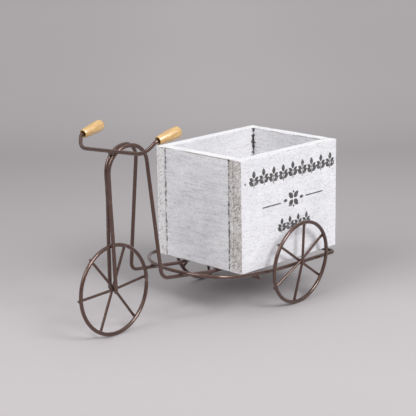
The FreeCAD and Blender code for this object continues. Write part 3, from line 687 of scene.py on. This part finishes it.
def add_joint_group():
    """Dark ragged joints where the boards meet, and the rough strips of wood beside them."""
    group, given, result = shader_group("board_joints", ["Place"], {}, ["Dark", "Strip", "Inside"])
    far_joint, near_shift, near_wider = 48.6 * mm, 4.1 * mm, 0.15 * mm
    box_middle, outer_half_length = 85.2 * mm, 76.0 * mm
    inner_half_width, inner_half_length = 50.25 * mm, 65.0 * mm
    reckon, step = partial(maths, group), partial(smooth_step, group)
    place = axes_of(group, given["Place"])

    def ragged(scale, detail, low, high, sideways=0.05):
        """A length that changes up the joint, from about low to high in millimetres."""
        mapping = add_node(group, "ShaderNodeMapping", {
            "Vector": given["Place"], "Scale": (sideways, sideways, 1.0)})
        pattern = noise_over(group, mapping.outputs[0], Scale=scale, Detail=detail, Roughness=0.65)
        spread = add_node(group, "ShaderNodeMapRange", clamp=False)
        set_inputs(
            group, spread, Value=pattern, From_Min=0.3, From_Max=0.7, To_Min=low * mm,
            To_Max=high * mm)
        return spread.outputs["Result"]

    outward = reckon("ABSOLUTE", place["X"])
    near = step(place["X"], -1 * mm, 1 * mm)
    joint = reckon("SUBTRACT", far_joint, reckon("MULTIPLY", near, near_shift))
    wobble = reckon("ADD", ragged(60.0, 2.0, -0.4, 0.4), joint)
    wobble = reckon("ADD", ragged(620.0, 4.0, -0.75, 0.75), wobble)
    from_joint = reckon("SUBTRACT", outward, wobble)
    width = reckon("ADD", ragged(330.0, 4.0, -0.9, 1.35), reckon("MULTIPLY", near, near_wider))
    line = reckon("SUBTRACT", reckon("ABSOLUTE", from_joint), width)
    line = reckon("SUBTRACT", 1.0, step(line, -0.1 * mm, 0.55 * mm))
    from_middle = reckon("ABSOLUTE", reckon("SUBTRACT", place["Y"], box_middle))
    outer_face = step(from_middle, outer_half_length, outer_half_length + 0.5 * mm)
    past_side = reckon("SUBTRACT", outward, inner_half_width)
    past_end = reckon("SUBTRACT", from_middle, inner_half_length)
    corner = reckon("MAXIMUM", reckon("ABSOLUTE", past_side), reckon("ABSOLUTE", past_end))
    inner = step(reckon("MAXIMUM", past_side, past_end), 0.2 * mm, 0.6 * mm)
    rear = step(place["Y"], 84 * mm, 86 * mm)
    rough = reckon("MULTIPLY", reckon("SUBTRACT", 1.0, near), rear)
    rough = reckon("MULTIPLY", rough, ragged(240.0, 3.0, -0.8, 4.6, 0.7))
    corner = reckon("SUBTRACT", corner, reckon("ADD", rough, ragged(430.0, 2.0, -0.3, 0.3)))
    corner = reckon("SUBTRACT", 1.0, step(corner, 0.0, 0.6 * mm))
    dark = reckon("MAXIMUM", reckon("MULTIPLY", line, outer_face), corner)
    set_inputs(
        group, result, Dark=reckon("MULTIPLY", dark, 0.9), Inside=reckon("SUBTRACT", 1.0, inner),
        Strip=reckon("MULTIPLY", step(from_joint, 0.0, 0.5 * mm), outer_face))
    return group


def wash(name, grain, bare, ends_show, bare_top=0.0, streaks=1.0, chipped=1.0):
    """Whitewash for boards whose grain runs along axis 0 or 1."""
    material, tree, shader = new_material(name)
    reckon, step = partial(maths, tree), partial(smooth_step, tree)
    coordinates = add_node(tree, "ShaderNodeTexCoord").outputs
    place, facing = axes_of(tree, coordinates["Object"]), axes_of(tree, coordinates["Normal"])
    # Painted shade: colour multipliers for faces that look up and for the inner walls of the box.
    top_painted_shade, inside_painted_shade = (0.955, 0.95, 0.945), (0.985, 0.975, 0.965)
    order = ("XYZ", "YXZ")[grain]
    along = add_node(tree, "ShaderNodeCombineXYZ", {k: place[axis] for k, axis in enumerate(order)})
    section = add_node(tree, "ShaderNodeCombineXYZ", {"X": place["X"], "Z": place["Z"]})
    joints = place_group(tree, board_joints, Place=coordinates["Object"])
    upper = step(facing["Z"], 0.3, 0.7)
    flat = reckon("SUBTRACT", 1.0, upper)
    high = step(place["Z"], 118 * mm, 165 * mm)
    near_side = step(place["X"], -40 * mm, 40 * mm)
    end_face = joints["Strip"]
    if ends_show:
        end_face = step(reckon("ABSOLUTE", facing[order[0]]), 0.55, 0.8)
    edge = add_node(tree, "ShaderNodeAttribute", attribute_name="edge_share").outputs["Fac"]
    gain = reckon("MULTIPLY_ADD", flat, chipped - 1.0, 1.0)
    coat = place_group(
        tree, whitewash, Place=along.outputs[0], Section=section.outputs[0], Streaks=streaks,
        Bare=reckon("ADD", reckon("MULTIPLY", high, bare_top), bare), End_Grain=end_face,
        End_Bare=reckon("MULTIPLY_ADD", near_side, 0.42, 0.36), Edge=reckon("MULTIPLY", edge, gain),
        Dark_Joint=reckon("MULTIPLY", joints["Dark"], flat))
    # Painted shade: faces that look up are darkened a little, and the inner walls of the box are
    # darkened and warmed a little.
    toned = mix_colours(tree, upper, coat["Color"], top_painted_shade, "MULTIPLY")
    inside = reckon("MULTIPLY", joints["Inside"], flat)
    toned = mix_colours(tree, inside, toned, inside_painted_shade, "MULTIPLY")
    set_inputs(tree, shader, Base_Color=toned, Roughness=coat["Roughness"], Specular_IOR_Level=0.25)
    bump(tree, shader, coat["Height"], 0.55, 0.32 * mm)
    return material


whitewash = add_wash_group()
board_joints = add_joint_group()
side_wash = wash("side_board_wash", 1, 0.22, True, bare_top=0.30, streaks=0.5)
end_wash = wash("end_board_wash", 0, 0.42, False, chipped=2.0)
floor_wash = wash("floor_board_wash", 1, 0.50, False)
side_steps, end_steps = (1.2 * mm, 3.2 * mm, 1.8 * mm), (3.2 * mm, 2.0 * mm, 3.2 * mm)
floor_steps = (3.2 * mm, 3.2 * mm, 2.0 * mm)
make_board("side_plank_left", "side_board_left", 1, 1.0, side_wash, side_steps)
make_board("side_plank_right", "side_board_right", 1, 2.0, side_wash, side_steps)
make_board("front_plank", "front_board", 0, 3.0, end_wash, end_steps)
make_board("rear_plank", "rear_board", 0, 4.0, end_wash, end_steps)
make_board("floor_plank", "floor_board", 1, 5.0, floor_wash, floor_steps)


# Nails
# Two flat-headed steel nails go through each end of each side board, driven just flush. The
# wash covers all heads but the upper front ones, which are dull and a little rusty.
def add_nail_tree():
    tree, given, result = geometry_tree("nail_heads", [
        ("Head Radius", "NodeSocketFloat", 1.4 * mm),
        ("Head Depth", "NodeSocketFloat", 0.5 * mm),
        ("Seed", "NodeSocketInt", 2),
        ("Finish", "NodeSocketMaterial", None)])
    disc = add_node(tree, "GeometryNodeMeshCylinder", {
        "Vertices": 20, "Side Segments": 2, "Fill Segments": 2, "Radius": given["Head Radius"],
        "Depth": given["Head Depth"]}, fill_type="NGON")
    lie = add_node(tree, "GeometryNodeTransform", {"Rotation": (0.0, math.radians(90), 0.0)})
    tilt = add_node(tree, "FunctionNodeRandomValue", data_type="FLOAT_VECTOR")
    set_inputs(tree, tilt, Min=(0.0, -0.06, -0.06), Max=(6.0, 0.06, 0.06), Seed=given["Seed"])
    turn = add_node(tree, "FunctionNodeEulerToRotation", {"Euler": tilt.outputs["Value"]})
    spread = add_node(tree, "GeometryNodeInstanceOnPoints", {
        "Instance": chain(tree, disc.outputs["Mesh"], lie), "Rotation": turn.outputs["Rotation"]})
    end_tree(tree, chain(tree, given["Geometry"], spread), given, result)
    return tree


def make_nail_steel():
    steel, paint, paint_share = (0.28, 0.26, 0.25), (0.84, 0.84, 0.87), 0.86
    material, tree, shader = new_material("nail_steel")
    place = object_place(tree)
    wear = place_group(
        tree, worn_finish, Place=place, Patch_Scale=900.0, Mottle_Scale=2600.0, Cover=0.5)
    rust = ramp(tree, wear["Mottle"], [(0.35, (0.10, 0.055, 0.035)), (0.7, (0.25, 0.17, 0.12))])
    bare = mix_colours(tree, wear["Patches"], steel, rust)
    axes = axes_of(tree, place)
    lower = maths(tree, "SUBTRACT", 1.0, smooth_step(tree, axes["Z"], 115 * mm, 125 * mm))
    washed = maths(tree, "MAXIMUM", lower, smooth_step(tree, axes["Y"], 40 * mm, 60 * mm))
    colour = mix_colours(tree, maths(tree, "MULTIPLY", washed, paint_share), bare, paint)
    set_inputs(tree, shader, Base_Color=colour, Metallic=0.2, Roughness=0.6)
    bump(tree, shader, wear["Height"], 0.4, 0.1 * mm)
    return material


nail_out, nail_rows, nail_heights = 62.1, (14.2, 156.2), (94.9, 143.2)
nail_places = [
    Vector((side * nail_out, y, z)) * mm
    for side in (1, -1) for y in nail_rows for z in nail_heights]
nail_mesh = bpy.data.meshes.new("nail_places")
nail_mesh.from_pydata(nail_places, [], [])
nails = grow("nail_heads", nail_mesh, add_nail_tree(), {
    "Head Radius": 1.25 * mm, "Head Depth": 0.44 * mm, "Seed": 2, "Finish": make_nail_steel()})
carry(nails, "planter_box", "nail_steel", "box_nails")


# Stencilled ornament
# Plain leaves, buds and rules, dabbed in dark grey through a stencil on the left side
# board. The paint lies thinly on the wood and is dry and broken in places.
def leaf_outline(length, width, count=10):
    points = []
    for index in range(count + 1):
        share = index / count
        half = width / 2 * math.sin(math.pi * share) ** 0.8 * (1.15 - 0.3 * share)
        points.append((share * length, half))
    return points + [(x, -y) for x, y in reversed(points[1:-1])]


def disc_outline(radius, count=14):
    angles = [math.tau * k / count for k in range(count)]
    return [(radius * math.cos(angle), radius * math.sin(angle)) for angle in angles]


class Stencil:
    """Collects flat shapes, in millimetres along and up the board, as thin plates."""

    board_x = 62.25
    back, front = -0.1, 0.07

    def __init__(self):
        self.places = []
        self.faces = []

    def add(self, outline, y, z, turn=0.0):
        first, count = len(self.places), len(outline)
        c, s = math.cos(turn), math.sin(turn)
        for lift in (self.back, self.front):
            for a, b in outline:
                place = Vector((self.board_x + lift, y + a * c - b * s, z + a * s + b * c))
                self.places.append(place * mm)
        self.faces.append([first + count + k for k in range(count)])
        self.faces.append([first + k for k in reversed(range(count))])
        for k in range(count):
            after = (k + 1) % count
            self.faces.append([first + k, first + after, first + count + after, first + count + k])


def add_sprig(shapes, y, z, size, lean):
    """A small upright plant of five leaves on a thin stem."""
    c, s = math.cos(lean), math.sin(lean)
    stem = [(0, -0.55), (9.6, -0.4), (9.6, 0.4), (0, 0.55)]
    for outline, a, b, turn in (
            (stem, 0.0, -9.0, math.pi / 2), (leaf_outline(8.2, 5.0), 0.0, 1.0, math.pi / 2),
            (leaf_outline(8.6, 4.7), 0.9, -6.6, math.radians(38)),
            (leaf_outline(8.6, 4.7), -0.9, -6.6, math.radians(142)),
            (leaf_outline(7.0, 4.0), 0.9, -1.6, math.radians(32)),
            (leaf_outline(7.0, 4.0), -0.9, -1.6, math.radians(148))):
        a, b = a * size, b * size
        sized = [(u * size, v * size) for u, v in outline]
        shapes.add(sized, y + a * c - b * s, z + a * s + b * c, turn + lean)


def make_stencil_paint():
    dark, toned, wood = (0.055, 0.052, 0.052), (0.14, 0.132, 0.13), (0.60, 0.60, 0.62)
    material, tree, shader = new_material("stencil_paint")
    wear = place_group(
        tree, worn_finish, Place=object_place(tree), Patch_Scale=330.0, Mottle_Scale=1500.0,
        Cover=0.56)
    paint = ramp(tree, wear["Mottle"], [(0.3, dark), (0.7, toned)])
    colour = mix_colours(tree, maths(tree, "MULTIPLY", wear["Patches"], 0.55), paint, wood)
    set_inputs(tree, shader, Base_Color=colour, Roughness=0.85, Specular_IOR_Level=0.2)
    bump(tree, shader, wear["Height"], 0.3, 0.1 * mm)
    return material


shapes = Stencil()
upper_row, upper_start, upper_pitch = 146.2, 27.6, 15.4
lower_row, lower_start, lower_pitch = 88.4, 71.5, 13.2
for index in range(9):
    height = upper_row + 0.5 * math.sin(index * 1.9)
    lean = 0.06 * math.sin(index * 2.3)
    add_sprig(shapes, upper_start + index * upper_pitch, height, 1.0, lean)
rule = [(0, -0.7), (28.8, -0.6), (28.8, 0.6), (0, 0.7)]
shapes.add(rule, 41.0, 113.2)
shapes.add(rule, 110.0, 114.4)
motif_y, motif_z = 90.2, 114.6
for petal in range(4):
    turn = math.radians(90 * petal + 45)
    place = (motif_y + 1.3 * math.cos(turn), motif_z + 1.3 * math.sin(turn))
    shapes.add(leaf_outline(9.4, 6.0), *place, turn)
for reach, turn in ((-10.0, math.pi), (10.0, 0.0)):
    shapes.add(leaf_outline(6.4, 3.6), motif_y + reach, motif_z, turn)
for reach in (7.8, -7.8):
    shapes.add(disc_outline(1.2), motif_y, motif_z + reach)
for index in range(4):
    lean = 0.05 * math.sin(index * 1.7)
    add_sprig(shapes, lower_start + index * lower_pitch, lower_row, 0.9, lean)
stencil_mesh = bpy.data.meshes.new("stencilled_leaves")
stencil_mesh.from_pydata(shapes.places, [], shapes.faces)
stencil_mesh.materials.append(make_stencil_paint())
carry(put_in_scene("stencilled_leaves", stencil_mesh), "planter_box", "whitewashed_wood")


# Grips
# Turned hardwood handles, narrow at the bored mouth and full towards the domed end. They
# are varnished a golden colour and pushed on the ends of the handlebar.
def grip_profile():
    """(radius, place along the grip) in millimetres, from the bore round to the tip."""
    mouth, widest, length, bore, depth, sink = 4.35, 6.05, 29.4, 2.35, 23.0, 1.9
    shares = (
        (0.1, 0.22), (0.2, 0.42), (0.3, 0.6), (0.42, 0.78), (0.53, 0.905), (0.64, 0.98),
        (0.75, 0.995), (0.86, 0.94))
    points = [
        (0.0, depth), (bore, depth), (bore, sink), (bore + sink - 0.3, 0.24),
        (mouth - 0.25, 0.0), (mouth - 0.02, 0.3)]
    points += [(mouth + rise * (widest - mouth), along * length) for along, rise in shares]
    shoulder, fall = points[-1]
    for k in range(1, 9):
        turn = math.pi / 2 * k / 8
        rounded = shoulder * (0.04 + 0.96 * math.cos(turn))
        points.append((rounded, fall + (length - fall) * math.sin(turn)))
    points.append((0.0, length + 0.02))
    return points


def make_grip_wood():
    material, tree, shader = new_material("grip_wood")
    place = add_node(tree, "ShaderNodeAttribute", attribute_name="turned_place").outputs["Vector"]
    mapping = add_node(tree, "ShaderNodeMapping", {"Vector": place, "Scale": (1.0, 1.0, 0.09)})
    grain = noise_over(
        tree, mapping.outputs[0], Scale=900.0, Detail=4.0, Roughness=0.6, Distortion=0.4)
    wear = place_group(
        tree, worn_finish, Place=place, Patch_Scale=110.0, Mottle_Scale=900.0, Cover=0.5)
    colour = ramp(tree, grain, [
        (0.30, (0.37, 0.190, 0.045)), (0.48, (0.57, 0.330, 0.090)), (0.68, (0.71, 0.455, 0.145))])
    patches = maths(tree, "MULTIPLY", wear["Patches"], 0.35)
    set_inputs(
        tree, shader, Base_Color=mix_colours(tree, patches, colour, (0.79, 0.54, 0.21)),
        Roughness=0.36, Coat_Weight=1.0, Coat_Roughness=0.33, Coat_IOR=2.1)
    bump(tree, shader, grain, 0.18, 0.12 * mm)
    return material


def make_grip(name, node, mouth, heading, sideways, sides=48):
    along = Vector(heading).normalized()
    across = (Vector(sideways) - Vector(sideways).dot(along) * along).normalized()
    third = along.cross(across)
    places, turned_places, faces, rings = [], [], [], []
    for radius, reach in grip_profile():
        ring = []
        for k in range(1 if radius == 0 else sides):
            turn = math.tau * k / sides
            u, v = radius * math.cos(turn), radius * math.sin(turn)
            ring.append(len(places))
            places.append((Vector(mouth) + along * reach + across * u + third * v) * mm)
            turned_places += [u * mm, v * mm, reach * mm]
        rings.append(ring)
    for lower, upper in zip(rings[:-1], rings[1:]):
        for k in range(sides):
            after = (k + 1) % sides
            if len(lower) == 1:
                faces.append([lower[0], upper[after], upper[k]])
            elif len(upper) == 1:
                faces.append([lower[k], lower[after], upper[0]])
            else:
                faces.append([lower[k], lower[after], upper[after], upper[k]])
    mesh = bpy.data.meshes.new(name)
    mesh.from_pydata(places, [], faces)
    attribute = mesh.attributes.new("turned_place", "FLOAT_VECTOR", "POINT")
    attribute.data.foreach_set("vector", turned_places)
    shell = bmesh.new()
    shell.from_mesh(mesh)
    bmesh.ops.recalc_face_normals(shell, faces=shell.faces)
    shell.to_mesh(mesh)
    shell.free()
    mesh.polygons.foreach_set("use_smooth", [True] * len(mesh.polygons))
    mesh.materials.append(grip_wood)
    carry(put_in_scene(name, mesh), "stand", "grip_wood", node)


grip_wood = make_grip_wood()
make_grip(
    "handle_left", "grip_left", mouth=(54.15, -100.77, 205.83),
    heading=(0.0615, 0.9753, 0.2123), sideways=(1.0, -0.06, -0.01))
make_grip(
    "handle_right", "grip_right", mouth=(-55.66, -100.77, 198.73),
    heading=(-0.0883, 0.9753, 0.2026), sideways=(0.99, 0.06, 0.14))
